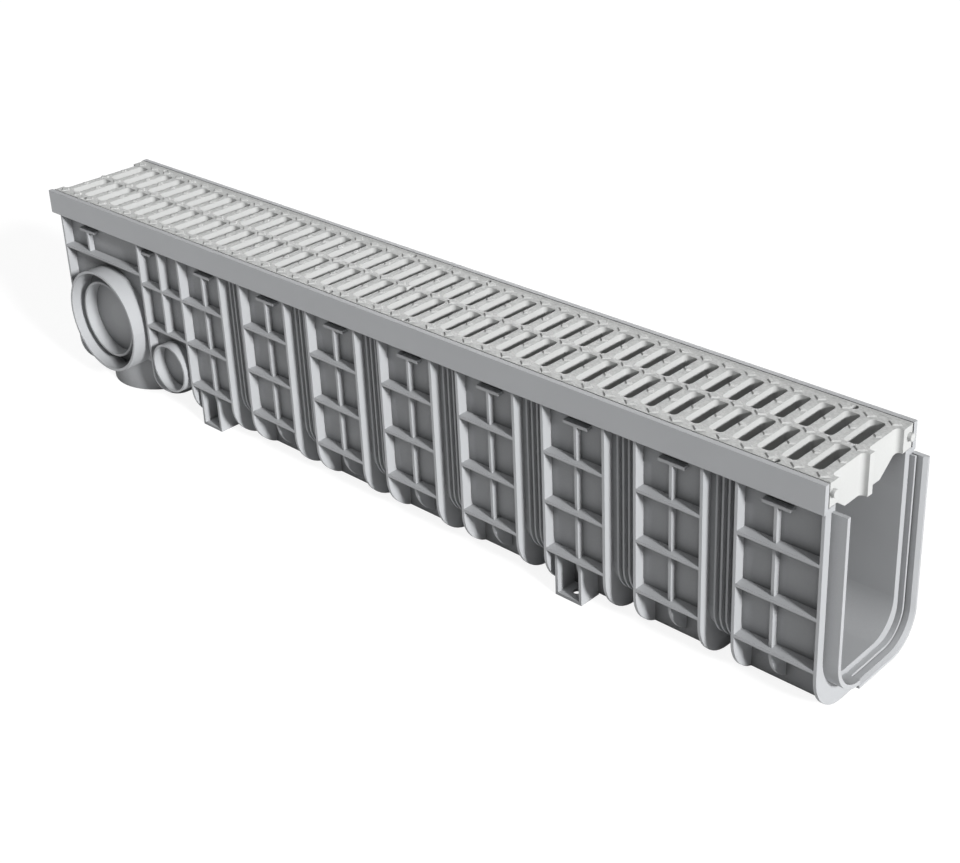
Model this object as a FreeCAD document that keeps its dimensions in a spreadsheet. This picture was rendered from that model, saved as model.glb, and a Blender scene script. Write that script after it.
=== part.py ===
# Linear drainage channel: a moulded channel body that carries two slotted gratings.
# X runs along the channel, Y across it and Z up.  Lengths are millimetres.
# The origin lies on the ground, midway along and across the whole channel.

import FreeCAD
import Part
import Sketcher
import os
from FreeCAD import Vector
from math import pi

doc = FreeCAD.newDocument("channel_drain")

# ---------------------------------------------------------------- driving dimensions

DIMENSIONS = [
    # overall
    ("channel_length", 1000),
    ("channel_width", 130),
    ("channel_height", 215),
    # rails and grating seat
    ("rail_height", 25.5),
    ("rail_wall", 5),
    ("seat_depth", 22),
    ("seat_wall", 3),
    # trough
    ("ledge_width", 10),
    ("trough_depth", 187.5),
    ("trough_radius", 30),
    ("trough_wall", 3),
    ("end_setback", 13),
    # vertical ribs and shelves
    ("rib_wall", 3),
    ("rib_inset", 2),
    ("rib_radius", 40),
    ("first_bay", 219),
    ("last_bay", 81),
    ("bay_span", 70),
    ("shelf_wall", 3),
    ("first_shelf", 70),
    ("shelf_pitch", 48.5),
    ("outlet_shelf", 60),
    ("narrow_rib", 185),
    ("outlet_rib", 150),
    ("mid_rib_inset", 6),
    ("mid_rib_rise", 5),
    ("tab_drop", 35.5),
    ("tab_wall", 3),
    ("tab_length", 26),
    ("keel_offset", 35),
    ("fin_wall", 2),
    ("fin_pitch", 6),
    ("fin_reach", 4),
    # anchoring feet
    ("foot_start", 9),
    ("foot_width", 30),
    ("foot_wall", 3),
    ("foot_inset", 6),
    ("foot_hole", 8),
    # pipe outlets
    ("outlet_place", 83.5),
    ("outlet_drop", 131),
    ("outlet_bore", 110.4),
    ("outlet_wall", 2.8),
    ("outlet_reach", 10),
    ("reducer_bore", 82),
    ("reducer_wall", 2.5),
    ("reducer_setback", 8),
    ("small_place", 186),
    ("small_drop", 160),
    ("small_bore", 50.2),
    ("small_wall", 2.2),
    ("small_reach", 1),
    ("socket_rise", 60),
    # end joint
    ("joint_drop", 27),
    ("joint_split", 20),
    ("tongue_reach", 14),
    ("tongue_inset", 10),
    ("tongue_wall", 4),
    ("tongue_floor", 19),
    ("tongue_radius", 35),
    ("lip_reach", 13.5),
    ("lip_inset", 0.5),
    ("lip_wall", 4.5),
    ("lip_floor", 14),
    ("lip_radius", 34),
    ("lip_bevel", 3.5),
    ("lip_bevel_angle", 35),
    ("lip_groove", 1.2),
    ("inner_lip_reach", 5),
    ("inner_lip_wall", 2.3),
    # gratings
    ("grating_gap", 1),
    ("grating_side_gap", 1),
    ("grating_depth", 38),
    ("grating_land", 12),
    ("grating_flat", 50),
    ("slot_count", 22),
    ("slot_width", 14),
    ("slot_start", 3.3),
    ("slot_margin", 3.7),
    ("slot_radius", 4),
    ("peg_diameter", 7),
    ("peg_reach", 3.5),
    ("peg_clearance", 0.5),
    ("peg_drop", 10),
    ("screw_hole", 6),
    ("screw_pilot", 4),
    ("screw_place", 50),
    ("screw_inset", 10.5),
]

sheet = doc.addObject("Spreadsheet::Sheet", "Dims")
for row, (alias, value) in enumerate(DIMENSIONS, start=1):
    sheet.set("A%d" % row, alias)
    sheet.set("B%d" % row, str(value))
    sheet.setAlias("B%d" % row, alias)
doc.recompute()

SIZE = dict(DIMENSIONS)

BAY_COUNT = 8
FIN_COUNT = 3
SHELVES_PER_BAY = 3
FOOT_BAYS = (0, 5)
SIDES = (-1, 1)

# Expressions that several pieces share.
HEIGHT = "Dims.channel_height"
LENGTH = "Dims.channel_length"
HALF_WIDTH = "Dims.channel_width / 2"
TROUGH_HALF = "(Dims.channel_width / 2 - Dims.rail_wall - Dims.ledge_width)"
FLOOR = "(Dims.channel_height - Dims.trough_depth)"
SEAT_TOP = "(Dims.channel_height - Dims.seat_depth)"
SEAT_BOTTOM = "(Dims.channel_height - Dims.seat_depth - Dims.seat_wall)"
WALL_OUTER = "(%s + Dims.trough_wall)" % TROUGH_HALF
BAY_PITCH = "((Dims.channel_length - Dims.first_bay - Dims.last_bay) / %d)" % (BAY_COUNT - 1)
CENTRE_SHIFT = "-(Dims.channel_length + Dims.tongue_reach) / 2"


def bind(item, bindings):
    for path, expression in bindings.items():
        item.setExpression(path, expression)
    return item


def block(name, start, size):
    """A box from its lowest corner and its size, each a triple of expressions."""
    item = doc.addObject("Part::Box", name)
    bindings = dict(zip(("Length", "Width", "Height"), size))
    bindings.update(zip(("Placement.Base.x", "Placement.Base.y", "Placement.Base.z"), start))
    return bind(item, bindings)


def across(name, start, length, bottom, height):
    """A box that spans the whole channel width, for an envelope to trim."""
    return block(name, (start, "-Dims.channel_width / 2", bottom), (length, "Dims.channel_width", height))


def cylinder(name, direction, centre, radius, length):
    """A cylinder along a direction, from the centre of its first face."""
    item = doc.addObject("Part::Cylinder", name)
    item.Placement.Rotation = FreeCAD.Rotation(Vector(0, 0, 1), direction)
    bindings = {"Radius": radius, "Height": length}
    bindings.update(zip(("Placement.Base.x", "Placement.Base.y", "Placement.Base.z"), centre))
    return bind(item, bindings)


def fuse(name, items):
    item = doc.addObject("Part::MultiFuse", name)
    item.Shapes = items
    return item


def common(name, base, tool):
    item = doc.addObject("Part::Common", name)
    item.Base = base
    item.Tool = tool
    return item


def cut(name, base, tool):
    item = doc.addObject("Part::Cut", name)
    item.Base = base
    item.Tool = tool
    return item


def origin_plane(body, role):
    return next(plane for plane in body.Origin.OriginFeatures if plane.Role == role)


def new_sketch(body, name, role):
    sketch = body.newObject("Sketcher::SketchObject", name)
    sketch.AttachmentSupport = (origin_plane(body, role), [""])
    sketch.MapMode = "FlatFace"
    return sketch


def name_constraints(sketch, constraints):
    """Add named driving constraints, each bound to its expression."""
    for title, constraint, expression in constraints:
        index = sketch.addConstraint(constraint)
        sketch.renameConstraint(index, title)
        sketch.setExpression("Constraints." + title, expression)


def arc(x, y, radius, quarter):
    """A quarter of a circle in a sketch; quarter 0 starts at the sketch's own X axis."""
    circle = Part.Circle(Vector(x, y, 0), Vector(0, 0, 1), radius)
    return Part.ArcOfCircle(circle, quarter * pi / 2, (quarter + 1) * pi / 2)


# ---------------------------------------------------------------- U-shaped prisms

def u_prism(name, half_width, bottom, radius, top, start, length):
    """A prism along X whose section is flat on top and rounds into a flat bottom."""
    body = doc.addObject("PartDesign::Body", name)
    sketch = new_sketch(body, name + "_section", "YZ_Plane")
    # The sketch starts from one plain U, and its constraints then bring it to size.
    side = SIZE["channel_width"] / 2
    low = SIZE["lip_floor"]
    bend = SIZE["trough_radius"]
    high = SIZE["channel_height"]
    line = Part.LineSegment
    sketch.addGeometry(line(Vector(-side, high, 0), Vector(-side, low + bend, 0)))
    sketch.addGeometry(arc(bend - side, low + bend, bend, 2))
    sketch.addGeometry(line(Vector(bend - side, low, 0), Vector(side - bend, low, 0)))
    sketch.addGeometry(arc(side - bend, low + bend, bend, 3))
    sketch.addGeometry(line(Vector(side, low + bend, 0), Vector(side, high, 0)))
    sketch.addGeometry(line(Vector(side, high, 0), Vector(-side, high, 0)))
    sketch.addConstraint([
        Sketcher.Constraint("Vertical", 0),
        Sketcher.Constraint("Horizontal", 2),
        Sketcher.Constraint("Vertical", 4),
        Sketcher.Constraint("Tangent", 0, 2, 1, 1),
        Sketcher.Constraint("Tangent", 1, 2, 2, 1),
        Sketcher.Constraint("Tangent", 2, 2, 3, 1),
        Sketcher.Constraint("Tangent", 3, 2, 4, 1),
        Sketcher.Constraint("Coincident", 4, 2, 5, 1),
        Sketcher.Constraint("Coincident", 5, 2, 0, 1),
        Sketcher.Constraint("Equal", 1, 3),
        Sketcher.Constraint("Symmetric", 0, 1, 4, 2, -2),
    ])
    name_constraints(sketch, [
        ("half_width", Sketcher.Constraint("DistanceX", -1, 1, 4, 2, side), half_width),
        ("top", Sketcher.Constraint("DistanceY", -1, 1, 4, 2, high), top),
        ("depth", Sketcher.Constraint("DistanceY", 2, 2, 4, 2, high - low), "%s - (%s)" % (top, bottom)),
        ("radius", Sketcher.Constraint("Radius", 1, bend), radius),
    ])
    sketch.setExpression("AttachmentOffset.Base.z", start)
    pad = body.newObject("PartDesign::Pad", name + "_pad")
    pad.Profile = sketch
    pad.setExpression("Length", length)
    body.Tip = pad
    return body


# ---------------------------------------------------------------- trough, ribs and shelves

def bay_start(index):
    return "(Dims.first_bay + %d * %s)" % (index, BAY_PITCH)


def shelf_height(index):
    return "(%s - Dims.first_shelf - %d * Dims.shelf_pitch - Dims.shelf_wall)" % (HEIGHT, index)


def trough_wall():
    return u_prism("trough_shell", WALL_OUTER, FLOOR + " - Dims.trough_wall",
                   "Dims.trough_radius + Dims.trough_wall", SEAT_TOP,
                   "Dims.end_setback", LENGTH + " - Dims.end_setback")


def rib_envelope():
    return u_prism("rib_outline", HALF_WIDTH + " - Dims.rib_inset", "0", "Dims.rib_radius",
                   SEAT_BOTTOM, "Dims.end_setback", LENGTH + " - Dims.end_setback")


def ribs_and_shelves():
    """Upright ribs, shelves and bottom keels, all trimmed by one rounded outline."""
    pieces = []

    def rib(name, start, bottom="0"):
        pieces.append(across(name, start, "Dims.rib_wall", bottom, HEIGHT + " - " + bottom))

    def shelf(name, start, stop, bottom):
        pieces.append(across(name, start, stop + " - " + start, bottom, "Dims.shelf_wall"))

    rib("rib_left_end", "Dims.end_setback")
    rib("rib_outlet", "Dims.outlet_rib")
    rib("rib_narrow", "Dims.narrow_rib", shelf_height(1))
    rib("rib_right_end", LENGTH + " - Dims.rib_wall")
    shelf("shelf_outlet", "Dims.end_setback", "Dims.outlet_rib",
          "(%s - Dims.outlet_shelf - Dims.shelf_wall)" % HEIGHT)
    for level in (0, 1):
        shelf("shelf_narrow_%d" % level, "Dims.outlet_rib", bay_start(0), shelf_height(level))
    for bay in range(BAY_COUNT):
        start = bay_start(bay)
        stop = "(%s + Dims.bay_span)" % start
        if bay == BAY_COUNT - 1:
            stop = LENGTH
        else:
            rib("rib_right_%d" % bay, stop + " - Dims.rib_wall")
        rib("rib_left_%d" % bay, start)
        for level in range(SHELVES_PER_BAY):
            shelf("shelf_%d_%d" % (bay, level), start, stop, shelf_height(level))
        for side in SIDES:
            middle = "%d * Dims.keel_offset - Dims.rib_wall / 2" % side
            pieces.append(block("keel_%d_%d" % (bay, side + 1), (start, middle, "0"),
                                (stop + " - " + start, "Dims.rib_wall", FLOOR)))
    return common("ribs", fuse("rib_plates", pieces), rib_envelope())


def mid_ribs():
    """Shallower upright rib in the middle of each bay, with a tab above it."""
    inset = "Dims.mid_rib_inset"
    outline = u_prism("mid_outline", HALF_WIDTH + " - " + inset, "Dims.mid_rib_rise",
                      "Dims.rib_radius", SEAT_BOTTOM, "Dims.end_setback", LENGTH + " - Dims.end_setback")
    pieces = []
    for place in range(-2, BAY_COUNT):
        middle = "(%s + Dims.bay_span / 2)" % bay_start(place)
        tab_bottom = "(%s - Dims.tab_drop - Dims.tab_wall)" % HEIGHT
        pieces.append(across("tab_%d" % (place + 2), middle + " - Dims.tab_length / 2", "Dims.tab_length",
                             tab_bottom, "Dims.tab_wall"))
        if place == -1:
            continue
        low = "0"
        if place == -2:
            low = "(%s - Dims.outlet_shelf - Dims.shelf_wall)" % HEIGHT
        pieces.append(across("mid_rib_%d" % (place + 2), middle + " - Dims.rib_wall / 2",
                             "Dims.rib_wall", low, tab_bottom + " - " + low))
    return common("mids", fuse("mid_plates", pieces), outline)


def fins():
    """Three thin fins round the trough in every gap between two bays."""
    outline = u_prism("fin_outline", WALL_OUTER + " + Dims.fin_reach",
                      FLOOR + " - Dims.trough_wall - Dims.fin_reach",
                      "Dims.trough_radius + Dims.trough_wall + Dims.fin_reach", SEAT_BOTTOM,
                      "Dims.end_setback", LENGTH + " - Dims.end_setback")
    pieces = []
    for gap in range(BAY_COUNT - 1):
        middle = "(%s + (%s + Dims.bay_span) / 2)" % (bay_start(gap), BAY_PITCH)
        for fin in range(FIN_COUNT):
            offset = fin - (FIN_COUNT - 1) / 2
            start = "%s + %g * Dims.fin_pitch - Dims.fin_wall / 2" % (middle, offset)
            pieces.append(across("fin_%d_%d" % (gap, fin), start, "Dims.fin_wall", "0", HEIGHT))
    return common("fins", fuse("fin_plates", pieces), outline)


def rails():
    """Two smooth rails beside the gratings and the ledge that the gratings rest on."""
    pieces = []
    for side in SIDES:
        low = "-Dims.channel_width / 2" if side < 0 else HALF_WIDTH + " - Dims.rail_wall"
        pieces.append(block("rail_%d" % (side + 1), ("0", low, HEIGHT + " - Dims.rail_height"),
                            (LENGTH, "Dims.rail_wall", "Dims.rail_height")))
    ledge = across("ledge_plate", "0", LENGTH, SEAT_BOTTOM, "Dims.seat_wall")
    return pieces + [ledge]


def feet():
    """Open boxes with a drilled bottom plate under two of the bays, on both sides."""
    pieces = []
    holes = []
    depth = "(Dims.channel_width / 2 - Dims.foot_inset - Dims.keel_offset)"
    for bay in FOOT_BAYS:
        start = "(%s + Dims.foot_start)" % bay_start(bay)
        for side in SIDES:
            low = "Dims.keel_offset" if side > 0 else "Dims.foot_inset - Dims.channel_width / 2"
            tag = "%d_%d" % (bay, side + 1)
            for edge in (0, 1):
                place = "%s + %d * (Dims.foot_width - Dims.foot_wall)" % (start, edge)
                pieces.append(block("foot_plate_%s_%d" % (tag, edge), (place, low, "0"),
                                    ("Dims.foot_wall", depth, shelf_height(SHELVES_PER_BAY - 1))))
            pieces.append(block("foot_base_" + tag, (start, low, "0"),
                                ("Dims.foot_width", depth, "Dims.foot_wall")))
            centre = (start + " + Dims.foot_width / 2", "%s + %s / 2" % (low, depth), "-Dims.foot_wall")
            holes.append(cylinder("foot_hole_" + tag, Vector(0, 0, 1), centre,
                                  "Dims.foot_hole / 2", "3 * Dims.foot_wall"))
    return pieces, holes


# ---------------------------------------------------------------- pipe outlets

def side_socket(name, place, drop, bore, wall, reach):
    """A pipe socket on both sides: the tube across the channel and the recess inside it."""
    span = "(Dims.channel_width + 2 * %s)" % reach
    centre = (place, "-%s / 2" % span, "%s - %s" % (HEIGHT, drop))
    tube = cylinder(name + "_tube", Vector(0, 1, 0), centre, "%s / 2 + %s" % (bore, wall), span)
    recess = cylinder(name + "_bore", Vector(0, 1, 0), centre, bore + " / 2", span)
    return tube, recess


def keep_between_walls(name, recess):
    """Leave the recess only outside the trough walls, so that they close the socket."""
    core = block(name + "_core", ("0", "-" + WALL_OUTER, "0"), (LENGTH, "2 * " + WALL_OUTER, HEIGHT))
    return cut(name + "_recess", recess, core)


def outlets():
    place = "Dims.outlet_place"
    tube, bore = side_socket("outlet", place, "Dims.outlet_drop", "Dims.outlet_bore",
                             "Dims.outlet_wall", "Dims.outlet_reach")
    reach = "(Dims.outlet_reach - Dims.reducer_setback)"
    ring, ring_bore = side_socket("reducer", place, "Dims.outlet_drop", "Dims.reducer_bore",
                                  "Dims.reducer_wall", reach)
    reducer = cut("reducer_ring", ring, ring_bore)
    recess = keep_between_walls("outlet", cut("outlet_clear", bore, reducer))
    small_tube, small_bore = side_socket("small", "Dims.small_place", "Dims.small_drop",
                                         "Dims.small_bore", "Dims.small_wall", "Dims.small_reach")
    small_recess = keep_between_walls("small", small_bore)
    up = Vector(0, 0, 1)
    radius = "Dims.outlet_bore / 2"
    socket = cylinder("bottom_socket", up, (place, "0", "0"), radius + " + Dims.outlet_wall",
                      "Dims.socket_rise")
    socket_bore = cylinder("bottom_bore", up, (place, "0", "0"), radius, FLOOR + " - Dims.trough_wall")
    return [tube, small_tube, socket], [recess, small_recess, socket_bore]


# ---------------------------------------------------------------- end joint

def one_side(name, shape, side):
    """Keep the part of an end lip that lies on one side of the joint's split."""
    low = "-Dims.joint_split" if side > 0 else "-Dims.channel_width / 2"
    width = "%s %+d * Dims.joint_split" % (HALF_WIDTH, side)
    keep = block(name + "_side", (LENGTH, low, "0"), ("Dims.tongue_reach", width, HEIGHT))
    return common(name, shape, keep)


def lip_section(name, inset, floor, radius, start, reach):
    """A solid U that starts at a given distance beyond the right end and stands out of it."""
    return u_prism(name, "%s - %s" % (HALF_WIDTH, inset), floor, radius, HEIGHT + " - Dims.joint_drop",
                   "%s + %s" % (LENGTH, start), reach)


def lip(name, inset, wall, floor, radius, reach):
    """A U-shaped lip of even wall that stands out of the right end."""
    outer = lip_section(name + "_outer", inset, floor, radius, "0", reach)
    inner = lip_section(name + "_inner", "(%s + %s)" % (inset, wall), "%s + %s" % (floor, wall),
                        "%s - %s" % (radius, wall), "0", reach)
    return cut(name + "_ring", outer, inner)


def end_joint():
    """A tongue on the near side, and on the far side two lips that take the next channel's tongue."""
    tongue = lip("tongue", "Dims.tongue_inset", "Dims.tongue_wall", "Dims.tongue_floor",
                 "Dims.tongue_radius", "Dims.tongue_reach")
    outer_lip = lip("outer_lip", "Dims.lip_inset", "Dims.lip_wall", "Dims.lip_floor",
                    "Dims.lip_radius", "Dims.lip_reach")
    bevel = lip_section("outer_lip_bevel", "(Dims.lip_inset + Dims.lip_wall)",
                        "Dims.lip_floor + Dims.lip_wall", "Dims.lip_radius - Dims.lip_wall",
                        "Dims.lip_reach - Dims.lip_bevel", "Dims.lip_bevel")
    bevel.Tip.setExpression("TaperAngle", "Dims.lip_bevel_angle")
    step = "(Dims.lip_wall + Dims.lip_groove)"
    inner_lip = lip("inner_lip", "(Dims.lip_inset + %s)" % step, "Dims.inner_lip_wall",
                    "Dims.lip_floor + " + step, "Dims.lip_radius - " + step, "Dims.inner_lip_reach")
    return [one_side("near_tongue", tongue, -1),
            one_side("far_outer_lip", cut("bevelled_lip", outer_lip, bevel), 1),
            one_side("far_inner_lip", inner_lip, 1)]


# ---------------------------------------------------------------- channel body

def seat_holes():
    """Pilot holes in the ledge under the gratings' screw holes."""
    holes = []
    for index, place in enumerate(("Dims.screw_place", LENGTH + " / 2 - Dims.screw_place",
                                   LENGTH + " / 2 + Dims.screw_place", LENGTH + " - Dims.screw_place")):
        for side in SIDES:
            centre = (place, "%d * (%s - Dims.screw_inset)" % (side, HALF_WIDTH),
                      SEAT_BOTTOM + " - Dims.seat_wall")
            holes.append(cylinder("pilot_%d_%d" % (index, side + 1), Vector(0, 0, 1), centre,
                                  "Dims.screw_pilot / 2", "3 * Dims.seat_wall"))
    return holes


def channel_body():
    cavity = u_prism("cavity", TROUGH_HALF, FLOOR, "Dims.trough_radius",
                     HEIGHT + " + Dims.seat_depth", "0", LENGTH)
    foot_blocks, foot_holes = feet()
    tubes, recesses = outlets()
    solid = fuse("body_solid", [trough_wall(), ribs_and_shelves(), mid_ribs(), fins()]
                 + rails() + foot_blocks + tubes + end_joint())
    tool = fuse("body_hollows", [cavity] + recesses + foot_holes + seat_holes())
    body = cut("channel_body", solid, tool)
    body.setExpression("Placement.Base.x", CENTRE_SHIFT)
    return body


# ---------------------------------------------------------------- gratings

GRATING_LENGTH = "(Dims.channel_length / 2 - Dims.grating_gap)"
GRATING_HALF = "(Dims.channel_width / 2 - Dims.rail_wall - Dims.grating_side_gap)"
SLOT_PITCH = "(Dims.channel_length / 2 / Dims.slot_count)"
SLOT_END = "(%s - Dims.slot_margin)" % TROUGH_HALF


def grating_profile(body):
    """The grating's section: thin edges that rest on the ledge and a deep middle."""
    sketch = new_sketch(body, body.Name + "_section", "YZ_Plane")
    top = SIZE["channel_height"]
    side = SIZE["channel_width"] / 2
    seat = top - SIZE["seat_depth"]
    land = SIZE["grating_land"]
    flat = SIZE["grating_flat"] / 2
    low = top - SIZE["grating_depth"]
    corners = [(-side, top), (-side, seat), (land - side, seat), (-flat, low),
               (flat, low), (side - land, seat), (side, seat), (side, top)]
    points = [Vector(y, z, 0) for y, z in corners]
    for first, second in zip(points, points[1:] + points[:1]):
        sketch.addGeometry(Part.LineSegment(first, second))
    count = len(points)
    for index in range(count):
        sketch.addConstraint(Sketcher.Constraint("Coincident", index, 2, (index + 1) % count, 1))
    sketch.addConstraint([
        Sketcher.Constraint("Vertical", 0),
        Sketcher.Constraint("Horizontal", 1),
        Sketcher.Constraint("Symmetric", 0, 1, 6, 2, -2),
        Sketcher.Constraint("Symmetric", 1, 1, 5, 2, -2),
        Sketcher.Constraint("Symmetric", 2, 1, 4, 2, -2),
        Sketcher.Constraint("Symmetric", 3, 1, 3, 2, -2),
    ])
    name_constraints(sketch, [
        ("half_width", Sketcher.Constraint("DistanceX", -1, 1, 6, 2, side), GRATING_HALF),
        ("top", Sketcher.Constraint("DistanceY", -1, 1, 6, 2, top), HEIGHT),
        ("seat", Sketcher.Constraint("DistanceY", -1, 1, 1, 1, seat), SEAT_TOP),
        ("land", Sketcher.Constraint("DistanceX", 1, 1, 1, 2, land), "Dims.grating_land"),
        ("flat", Sketcher.Constraint("DistanceX", -1, 1, 3, 2, flat), "Dims.grating_flat / 2"),
        ("low", Sketcher.Constraint("DistanceY", -1, 1, 3, 2, low), HEIGHT + " - Dims.grating_depth"),
    ])
    pad = body.newObject("PartDesign::Pad", body.Name + "_pad")
    pad.Profile = sketch
    pad.setExpression("Length", GRATING_LENGTH)
    return pad


def rounded_slot(sketch, tag, side):
    """One slot with rounded corners, on one side of the grating's centre bar."""
    half = SIZE["slot_width"] / 2
    bend = SIZE["slot_radius"]
    near = SIZE["slot_start"]
    far = SIZE["channel_width"] / 2 - SIZE["rail_wall"] - SIZE["ledge_width"] - SIZE["slot_margin"]
    low, high = (near, far) if side > 0 else (-far, -near)
    line = Part.LineSegment
    first = sketch.GeometryCount
    sketch.addGeometry(line(Vector(bend - half, low, 0), Vector(half - bend, low, 0)))
    sketch.addGeometry(arc(half - bend, low + bend, bend, 3))
    sketch.addGeometry(line(Vector(half, low + bend, 0), Vector(half, high - bend, 0)))
    sketch.addGeometry(arc(half - bend, high - bend, bend, 0))
    sketch.addGeometry(line(Vector(half - bend, high, 0), Vector(bend - half, high, 0)))
    sketch.addGeometry(arc(bend - half, high - bend, bend, 1))
    sketch.addGeometry(line(Vector(-half, high - bend, 0), Vector(-half, low + bend, 0)))
    sketch.addGeometry(arc(bend - half, low + bend, bend, 2))
    for index in range(8):
        sketch.addConstraint(Sketcher.Constraint("Tangent", first + index, 2, first + (index + 1) % 8, 1))
    sketch.addConstraint([
        Sketcher.Constraint("Vertical", first + 2),
        Sketcher.Constraint("Horizontal", first + 4),
        Sketcher.Constraint("Vertical", first + 6),
        Sketcher.Constraint("Equal", first + 1, first + 3),
        Sketcher.Constraint("Equal", first + 1, first + 5),
        Sketcher.Constraint("Equal", first + 1, first + 7),
        Sketcher.Constraint("Symmetric", first, 1, first, 2, -2),
    ])
    inner, outer = (first, first + 4) if side > 0 else (first + 4, first)

    def from_centre_line(edge, distance):
        if side > 0:
            return Sketcher.Constraint("DistanceY", -1, 1, edge, 1, distance)
        return Sketcher.Constraint("DistanceY", edge, 1, -1, 1, distance)

    width = Sketcher.Constraint("DistanceX", first + 6, 1, first + 2, 1, 2 * half)
    name_constraints(sketch, [
        (tag + "_radius", Sketcher.Constraint("Radius", first + 1, bend), "Dims.slot_radius"),
        (tag + "_width", width, "Dims.slot_width"),
        (tag + "_start", from_centre_line(inner, near), "Dims.slot_start"),
        (tag + "_end", from_centre_line(outer, far), SLOT_END),
    ])


def slot_pattern(body):
    """Two rows of slots, repeated along the grating; the first and last are cut in half."""
    sketch = new_sketch(body, body.Name + "_slots", "XY_Plane")
    for side, tag in ((1, "far"), (-1, "near")):
        rounded_slot(sketch, tag, side)
    sketch.setExpression("AttachmentOffset.Base.x", "-Dims.grating_gap / 2")
    pocket = body.newObject("PartDesign::Pocket", body.Name + "_slot")
    pocket.Profile = sketch
    pocket.Type = "Length"
    pocket.Reversed = True
    pocket.setExpression("Length", HEIGHT + " + Dims.grating_depth")
    doc.recompute()
    pattern = body.newObject("PartDesign::LinearPattern", body.Name + "_slot_row")
    pattern.Originals = [pocket]
    pattern.Direction = (sketch, ["H_Axis"])
    pattern.setExpression("Length", SLOT_PITCH + " * Dims.slot_count")
    pattern.setExpression("Occurrences", "Dims.slot_count + 1")
    body.Tip = pattern
    return pattern


def grating(number_in_row):
    """One slotted grating with locating pegs at its right end and sockets at its left."""
    name = "grating_%d" % number_in_row
    slab = doc.addObject("PartDesign::Body", name + "_slab")
    grating_profile(slab)
    slot_pattern(slab)
    along = Vector(1, 0, 0)
    peg_height = HEIGHT + " - Dims.peg_drop"
    pegs = []
    tools = []
    for side in SIDES:
        place = "%d * (%s - Dims.screw_inset)" % (side, HALF_WIDTH)
        peg_start = "%s - Dims.peg_reach" % GRATING_LENGTH
        pegs.append(cylinder("%s_peg_%d" % (name, side + 1), along, (peg_start, place, peg_height),
                             "Dims.peg_diameter / 2", "2 * Dims.peg_reach"))
        depth = "(Dims.peg_reach + 2 * Dims.peg_clearance)"
        tools.append(cylinder("%s_socket_%d" % (name, side + 1), along, ("-" + depth, place, peg_height),
                              "Dims.peg_diameter / 2 + Dims.peg_clearance", "2 * " + depth))
        for end, screw in enumerate(("Dims.screw_place - Dims.grating_gap / 2",
                                     GRATING_LENGTH + " - Dims.screw_place + Dims.grating_gap / 2")):
            tools.append(cylinder("%s_screw_%d_%d" % (name, side + 1, end), Vector(0, 0, 1),
                                  (screw, place, SEAT_TOP + " - Dims.seat_wall"),
                                  "Dims.screw_hole / 2", "Dims.seat_depth + 2 * Dims.seat_wall"))
    # The centre bar stops short at the left end, so that the two half slots there are one.
    bar_half = "(Dims.slot_start + Dims.slot_radius)"
    tools.append(block(name + "_notch", ("0", "-" + bar_half, "0"),
                       ("(Dims.slot_width - Dims.grating_gap) / 2", "2 * " + bar_half, HEIGHT + " + 1")))
    solid = fuse(name + "_solid", [slab] + pegs)
    body = cut(name, solid, fuse(name + "_holes", tools))
    body.setExpression("Placement.Base.x", "%s + Dims.grating_gap / 2 + %d * Dims.channel_length / 2"
                       % (CENTRE_SHIFT, number_in_row - 1))
    return body


# ---------------------------------------------------------------- build and write

def problems(item):
    return [word for word in ("Invalid", "Error") if word in item.State]


parts = [channel_body(), grating(1), grating(2)]
doc.recompute()

for item in doc.Objects:
    if problems(item):
        raise RuntimeError("%s failed: %s" % (item.Name, item.State))

os.makedirs("parts", exist_ok=True)
for item in parts:
    item.Label = item.Name
    if item.Shape.isNull() or not item.Shape.isValid():
        raise RuntimeError("%s has no valid shape" % item.Label)
    item.Shape.exportStep("parts/" + item.Label + ".step")
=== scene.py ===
"""Channel drain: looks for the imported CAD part, its studio and its camera.  Lengths are metres."""

import math

import bmesh
import bpy
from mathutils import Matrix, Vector

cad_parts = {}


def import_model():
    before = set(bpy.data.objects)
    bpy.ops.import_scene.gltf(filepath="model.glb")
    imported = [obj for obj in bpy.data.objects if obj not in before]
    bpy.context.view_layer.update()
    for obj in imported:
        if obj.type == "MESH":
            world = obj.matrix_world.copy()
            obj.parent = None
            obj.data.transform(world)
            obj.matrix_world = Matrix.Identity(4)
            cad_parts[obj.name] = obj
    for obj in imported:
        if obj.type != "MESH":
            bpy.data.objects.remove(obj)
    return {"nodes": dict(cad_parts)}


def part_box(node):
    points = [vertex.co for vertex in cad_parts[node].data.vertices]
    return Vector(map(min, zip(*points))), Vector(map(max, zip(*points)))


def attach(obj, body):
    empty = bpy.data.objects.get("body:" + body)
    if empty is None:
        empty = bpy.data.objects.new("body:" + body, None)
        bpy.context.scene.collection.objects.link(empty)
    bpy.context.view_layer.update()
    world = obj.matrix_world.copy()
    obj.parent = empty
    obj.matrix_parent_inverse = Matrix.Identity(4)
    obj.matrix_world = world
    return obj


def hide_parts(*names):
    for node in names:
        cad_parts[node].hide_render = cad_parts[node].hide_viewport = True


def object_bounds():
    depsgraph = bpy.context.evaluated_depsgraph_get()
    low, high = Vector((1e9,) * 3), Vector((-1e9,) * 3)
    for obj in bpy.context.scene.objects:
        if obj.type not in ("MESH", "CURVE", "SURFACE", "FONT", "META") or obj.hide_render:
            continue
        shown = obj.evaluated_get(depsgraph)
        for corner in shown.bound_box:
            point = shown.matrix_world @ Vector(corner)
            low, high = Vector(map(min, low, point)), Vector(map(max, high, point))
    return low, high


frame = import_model()
start_low, start_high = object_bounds()
scene = bpy.context.scene
nodes = frame["nodes"]

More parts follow.
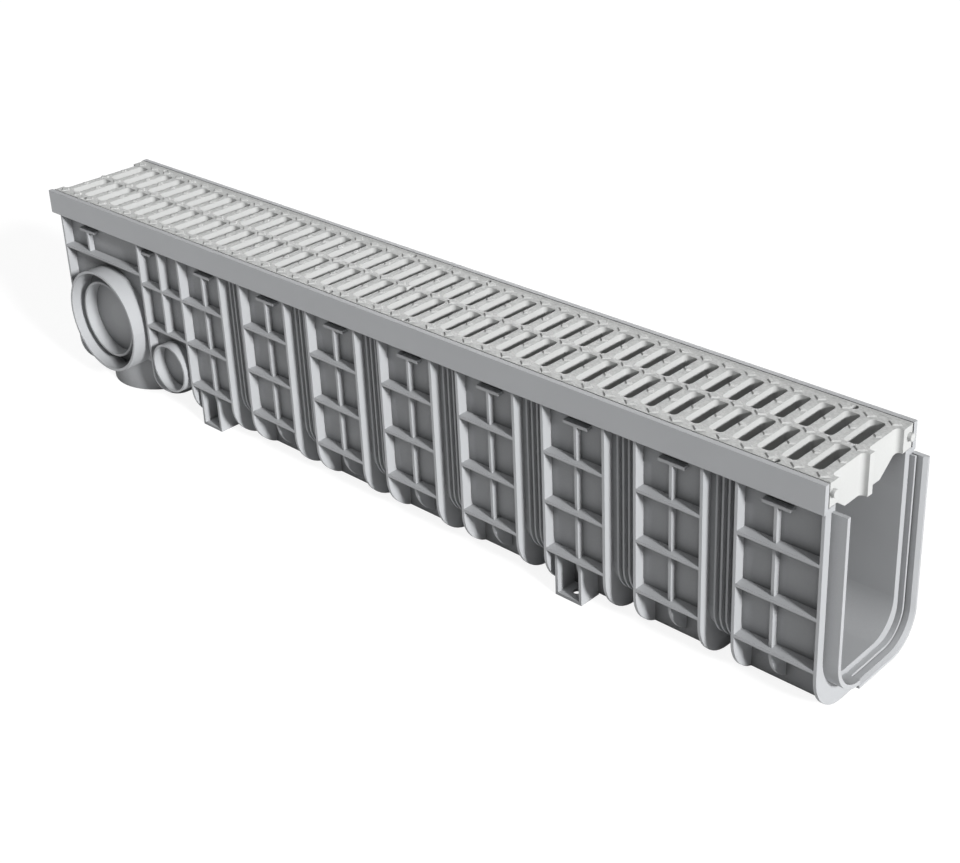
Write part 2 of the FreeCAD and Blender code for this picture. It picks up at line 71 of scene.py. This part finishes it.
# plastic
WHITE = (1, 1, 1)
SPECULAR = 0.2
CLOUD_SIZE = 0.06
CLOUD_DEPTH = 0.05
SHEEN_DEPTH = 0.08
EDGE_RADIUS = 0.0006
# painted shade in hollows: how far the occlusion looks, and how much less it darkens faces that turn
# downwards
HOLLOW_REACH = 0.03
DOWNWARD_RELIEF = 1.5
SIDE_GRAIN = 0.1
NODE_SAMPLES = 4

# gratings: the plate of each lies a stud's height below its own long edges
BARS = 22
END_GAP = 0.001
PEG_REACH = 0.0035
NEAR_TRIM = 0.0011
SLOT_EDGE = 0.0025
SLOT_EDGE_STEPS = 4
SLOT_REACH = 0.047
RIM_WIDTH = 0.0025
STUD_HEIGHT = 0.001
STUD_SLOPE = 0.0013
LARGE_STUD = (0.0065, 0.0051)
SMALL_STUD = (0.0046, 0.0035)
LARGE_STUD_ROWS = (-0.051, 0, 0.051)
SMALL_STUD_ROWS = (-0.025, 0.025)
FLAT_ANGLE = math.radians(0.5)
SHARP_ANGLE = math.radians(32)
MERGE = 0.000002

# studio
FLOOR_REACH = 30
FLOOR_GAP = 0.0005
FLOOR_BOUNCE = 0.88
FLOOR_TONE = 0.18
FLOOR_GLOW = 0.88
AMBIENT = 0.05


# ---------------------------------------------------------------- materials

def shade(colour, strength):
    """The colour made lighter or darker, with its alpha."""
    return (*[channel * strength for channel in colour], 1)


def feed(tree, value, socket):
    """Give an input its value, which is another node's output or a constant."""
    if isinstance(value, bpy.types.NodeSocket):
        tree.links.new(value, socket)
    else:
        socket.default_value = value


def arithmetic(tree, operation, *values):
    """The output of a math node."""
    node = tree.nodes.new("ShaderNodeMath")
    node.operation = operation
    for value, socket in zip(values, node.inputs):
        feed(tree, value, socket)
    return node.outputs[0]


def blend(tree, factor, low, high, blend_type="MIX"):
    """The output of a colour mix node."""
    node = tree.nodes.new("ShaderNodeMix")
    node.data_type = "RGBA"
    node.blend_type = blend_type
    for value, name in ((factor, "Factor"), (low, "A"), (high, "B")):
        feed(tree, value, node.inputs[name])
    return node.outputs["Result"]


def noise(tree, place, size, detail):
    """A noise texture with features of about the given size."""
    node = tree.nodes.new("ShaderNodeTexNoise")
    node.inputs["Scale"].default_value = 1 / size
    node.inputs["Detail"].default_value = detail
    tree.links.new(place.outputs["Object"], node.inputs["Vector"])
    return node.outputs["Fac"]


def painted_shade_strength(tree, facing):
    """How strongly painted shade darkens a face of a long side: more the deeper it lies in a hollow,
    less where it turns downwards, nothing for faces that look another way.
    """
    air = tree.nodes.new("ShaderNodeAmbientOcclusion")
    air.samples = NODE_SAMPLES
    air.inputs["Distance"].default_value = HOLLOW_REACH
    hidden = arithmetic(tree, "SUBTRACT", 1, air.outputs["AO"])
    across = arithmetic(tree, "ABSOLUTE", facing.outputs["Y"])
    down = arithmetic(tree, "MINIMUM", facing.outputs["Z"], 0)
    sideways = arithmetic(tree, "MULTIPLY_ADD", down, DOWNWARD_RELIEF, across)
    sideways.node.use_clamp = True
    return arithmetic(tree, "MULTIPLY", hidden, sideways)


def plastic(name, colour, roughness, grain_size, grain_depth, fleck_depth, hollow_shade):
    """Matt moulded plastic: soft edges, grain, uneven colour and painted shade that darkens the
    hollows in its sides.
    """
    material = bpy.data.materials.new(name)
    material.use_nodes = True
    tree = material.node_tree
    shader = tree.nodes["Principled BSDF"]
    shader.inputs["Specular IOR Level"].default_value = SPECULAR
    place = tree.nodes.new("ShaderNodeTexCoord")
    facing = tree.nodes.new("ShaderNodeSeparateXYZ")
    tree.links.new(place.outputs["Normal"], facing.inputs[0])
    cloud = noise(tree, place, CLOUD_SIZE, detail=4)
    grain = noise(tree, place, grain_size, detail=3)
    # Grain is full on faces that look up and faint on all others.
    upward = arithmetic(tree, "MAXIMUM", facing.outputs["Z"], SIDE_GRAIN)

    # The colour varies in wide clouds and fine flecks, and painted shade darkens it in hollows.
    tint = blend(tree, cloud, shade(colour, 1 - CLOUD_DEPTH), shade(colour, 1 + CLOUD_DEPTH))
    fleck = blend(tree, grain, shade(WHITE, 1 - fleck_depth), shade(WHITE, 1 + fleck_depth))
    # Painted shade: white where a long side is open, darkened towards hollow_shade where ambient
    # occlusion finds a hollow.
    painted_hollow_shade = blend(tree, painted_shade_strength(tree, facing), shade(WHITE, 1), shade(WHITE, hollow_shade))
    flecked = blend(tree, upward, tint, fleck, "MULTIPLY")
    surface = blend(tree, 1, flecked, painted_hollow_shade, "MULTIPLY")
    tree.links.new(surface, shader.inputs["Base Color"])

    sheen = tree.nodes.new("ShaderNodeMapRange")
    sheen.inputs["To Min"].default_value = roughness - SHEEN_DEPTH
    sheen.inputs["To Max"].default_value = roughness + SHEEN_DEPTH
    tree.links.new(cloud, sheen.inputs["Value"])
    tree.links.new(sheen.outputs["Result"], shader.inputs["Roughness"])

    edge = tree.nodes.new("ShaderNodeBevel")
    edge.samples = NODE_SAMPLES
    edge.inputs["Radius"].default_value = EDGE_RADIUS
    bump = tree.nodes.new("ShaderNodeBump")
    bump.inputs["Distance"].default_value = grain_depth
    tree.links.new(upward, bump.inputs["Strength"])
    tree.links.new(grain, bump.inputs["Height"])
    tree.links.new(edge.outputs["Normal"], bump.inputs["Normal"])
    tree.links.new(bump.outputs["Normal"], shader.inputs["Normal"])
    return material


body_plastic = plastic("body_plastic", colour=(0.346, 0.353, 0.363), roughness=0.55,
                       grain_size=0.0012, grain_depth=0.00005, fleck_depth=0.05, hollow_shade=0.1)
grating_plastic = plastic("grating_plastic", colour=(0.43, 0.435, 0.43), roughness=0.6,
                          grain_size=0.0022, grain_depth=0.0004, fleck_depth=0.3, hollow_shade=0.6)
for item in nodes.values():
    item.data.materials.clear()
    item.data.materials.append(body_plastic)


# ---------------------------------------------------------------- gratings

def is_slot_edge(edge, top):
    """True for an edge between the flat top and the wall of a slot."""
    if any(abs(vertex.co.z - top) > MERGE or abs(vertex.co.y) > SLOT_REACH for vertex in edge.verts):
        return False
    upward = sorted(abs(face.normal.z) for face in edge.link_faces)
    return len(upward) == 2 and upward[0] < 0.1 and upward[1] > 0.9


def soften_slots(mesh, top):
    """Round the upper edges of the slots."""
    bmesh.ops.remove_doubles(mesh, verts=mesh.verts, dist=MERGE)
    bmesh.ops.dissolve_limit(mesh, angle_limit=FLAT_ANGLE, verts=mesh.verts, edges=mesh.edges)
    edges = [edge for edge in mesh.edges if is_slot_edge(edge, top)]
    bmesh.ops.bevel(mesh, geom=edges, offset=SLOT_EDGE, segments=SLOT_EDGE_STEPS, profile=0.5,
                    affect="EDGES", offset_type="OFFSET", loop_slide=False, clamp_overlap=True)


def sink_plate(mesh, low, high):
    """Lower the top within two sloping rims, whose creases it returns, and trim the near side."""
    creases = []
    for rim in (low.y + RIM_WIDTH, high.y - RIM_WIDTH):
        form = mesh.verts[:] + mesh.edges[:] + mesh.faces[:]
        cut = bmesh.ops.bisect_plane(mesh, geom=form, plane_co=(0, rim, 0), plane_no=(0, 1, 0))
        creases.extend(part for part in cut["geom_cut"] if isinstance(part, bmesh.types.BMEdge))
    for vertex in mesh.verts:
        vertex.co.y = max(low.y + NEAR_TRIM, vertex.co.y)
        if vertex.co.z > high.z - SLOT_EDGE - MERGE:
            vertex.co.z -= STUD_HEIGHT * min(1, (high.y - abs(vertex.co.y)) / RIM_WIDTH)
    return creases


def add_stud(mesh, centre, half_length, half_width):
    """A low closed diamond with sloping sides, its long diagonal along the grating."""
    top_scale = 1 - STUD_SLOPE / half_width
    rings = []
    for lift, scale in ((-STUD_HEIGHT, 1), (0, 1), (STUD_HEIGHT, top_scale)):
        middle = centre + Vector((0, 0, lift))
        along = Vector((half_length * scale, 0, 0))
        across = Vector((0, half_width * scale, 0))
        corners = (middle + along, middle + across, middle - along, middle - across)
        rings.append([mesh.verts.new(corner) for corner in corners])
    for lower, upper in zip(rings, rings[1:]):
        for index in range(4):
            after = (index + 1) % 4
            mesh.faces.new((lower[index], lower[after], upper[after], upper[index]))
    mesh.faces.new(rings[-1])
    mesh.faces.new(reversed(rings[0]))


def add_studs(mesh, low, high):
    """Studs on every bar between two slots."""
    pitch = (high.x - low.x - PEG_REACH + END_GAP) / BARS
    start = low.x - END_GAP / 2
    plate = high.z - STUD_HEIGHT
    for bar in range(BARS):
        x = start + (bar + 0.5) * pitch
        for y in LARGE_STUD_ROWS:
            add_stud(mesh, Vector((x, y, plate)), *LARGE_STUD)
        for y in SMALL_STUD_ROWS:
            add_stud(mesh, Vector((x, y, plate)), *SMALL_STUD)


def shade_softly(mesh, creases):
    """Smooth shading that breaks at sharp edges and at the creases."""
    mesh.normal_update()
    for face in mesh.faces:
        face.smooth = True
    for edge in mesh.edges:
        edge.smooth = edge.calc_face_angle(math.pi) < SHARP_ANGLE
    for edge in creases:
        edge.smooth = False


def moulded_grating(source):
    """The grating's own form with soft edges round its slots and raised studs between them."""
    low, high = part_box(source)
    mesh = bmesh.new()
    mesh.from_mesh(nodes[source].data)
    soften_slots(mesh, high.z)
    creases = sink_plate(mesh, low, high)
    add_studs(mesh, low, high)
    shade_softly(mesh, creases)
    data = bpy.data.meshes.new(source + "_moulding")
    mesh.to_mesh(data)
    mesh.free()
    data.materials.append(grating_plastic)
    item = bpy.data.objects.new(source + "_moulding", data)
    item.matrix_world = nodes[source].matrix_world
    scene.collection.objects.link(item)
    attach(item, "root")
    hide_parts(source)


for source in ("grating_1", "grating_2"):
    moulded_grating(source)


# ---------------------------------------------------------------- studio

def floor_material():
    """Pale floor that lights the object from below and looks almost white, with a soft shadow."""
    material = bpy.data.materials.new("pale_floor")
    material.use_nodes = True
    tree = material.node_tree
    shader = tree.nodes["Principled BSDF"]
    shader.inputs["Roughness"].default_value = 0.9
    shader.inputs["Specular IOR Level"].default_value = 0
    shader.inputs["Emission Color"].default_value = shade(WHITE, 1)
    seen = tree.nodes.new("ShaderNodeLightPath").outputs["Is Camera Ray"]
    colour = blend(tree, seen, shade(WHITE, FLOOR_BOUNCE), shade(WHITE, FLOOR_TONE))
    tree.links.new(colour, shader.inputs["Base Color"])
    glow = arithmetic(tree, "MULTIPLY", seen, FLOOR_GLOW)
    tree.links.new(glow, shader.inputs["Emission Strength"])
    return material


def floor():
    """A wide plane just under the object."""
    mesh = bpy.data.meshes.new("floor")
    corners = [(x * FLOOR_REACH, y * FLOOR_REACH, 0) for x, y in ((-1, -1), (1, -1), (1, 1), (-1, 1))]
    mesh.from_pydata(corners, [], [(0, 1, 2, 3)])
    mesh.materials.append(floor_material())
    item = bpy.data.objects.new("floor", mesh)
    item.location.z = start_low.z - FLOOR_GAP
    scene.collection.objects.link(item)


def world():
    """Dim even light for the object, and white for the camera."""
    background = bpy.data.worlds.new("studio")
    background.use_nodes = True
    scene.world = background
    tree = background.node_tree
    light = tree.nodes["Background"]
    light.inputs["Color"].default_value = shade(WHITE, 1)
    seen = tree.nodes.new("ShaderNodeLightPath").outputs["Is Camera Ray"]
    strength = arithmetic(tree, "MULTIPLY_ADD", seen, 1 - AMBIENT, AMBIENT)
    tree.links.new(strength, light.inputs["Strength"])


def sun(name, towards, strength, spread):
    """A lamp at infinity, in the direction towards; its spread in degrees softens its shadows."""
    lamp = bpy.data.lights.new(name, "SUN")
    lamp.energy = strength
    lamp.angle = math.radians(spread)
    item = bpy.data.objects.new(name, lamp)
    item.rotation_euler = Vector(towards).to_track_quat("Z", "Y").to_euler()
    scene.collection.objects.link(item)


floor()
world()
sun("key_light", towards=(1, -0.22, 0.42), strength=5.1, spread=8)
sun("top_light", towards=(0.1, -0.3, 1), strength=0.85, spread=60)
sun("back_light", towards=(-0.8, 1, 0.15), strength=2.3, spread=30)


# ---------------------------------------------------------------- camera

def camera():
    """The photograph's view of the near side and the right end, from above."""
    data = bpy.data.cameras.new("camera")
    data.sensor_width = 36
    data.lens = 61.227
    data.shift_x = -0.07
    data.shift_y = -0.1
    data.clip_end = 200
    item = bpy.data.objects.new("camera", data)
    item.location = (1.0298, -0.9537, 0.8262)
    item.rotation_euler = [math.radians(angle) for angle in (64.573, 1.361, 41.536)]
    scene.collection.objects.link(item)
    scene.camera = item


camera()
scene.view_settings.view_transform = "Standard"
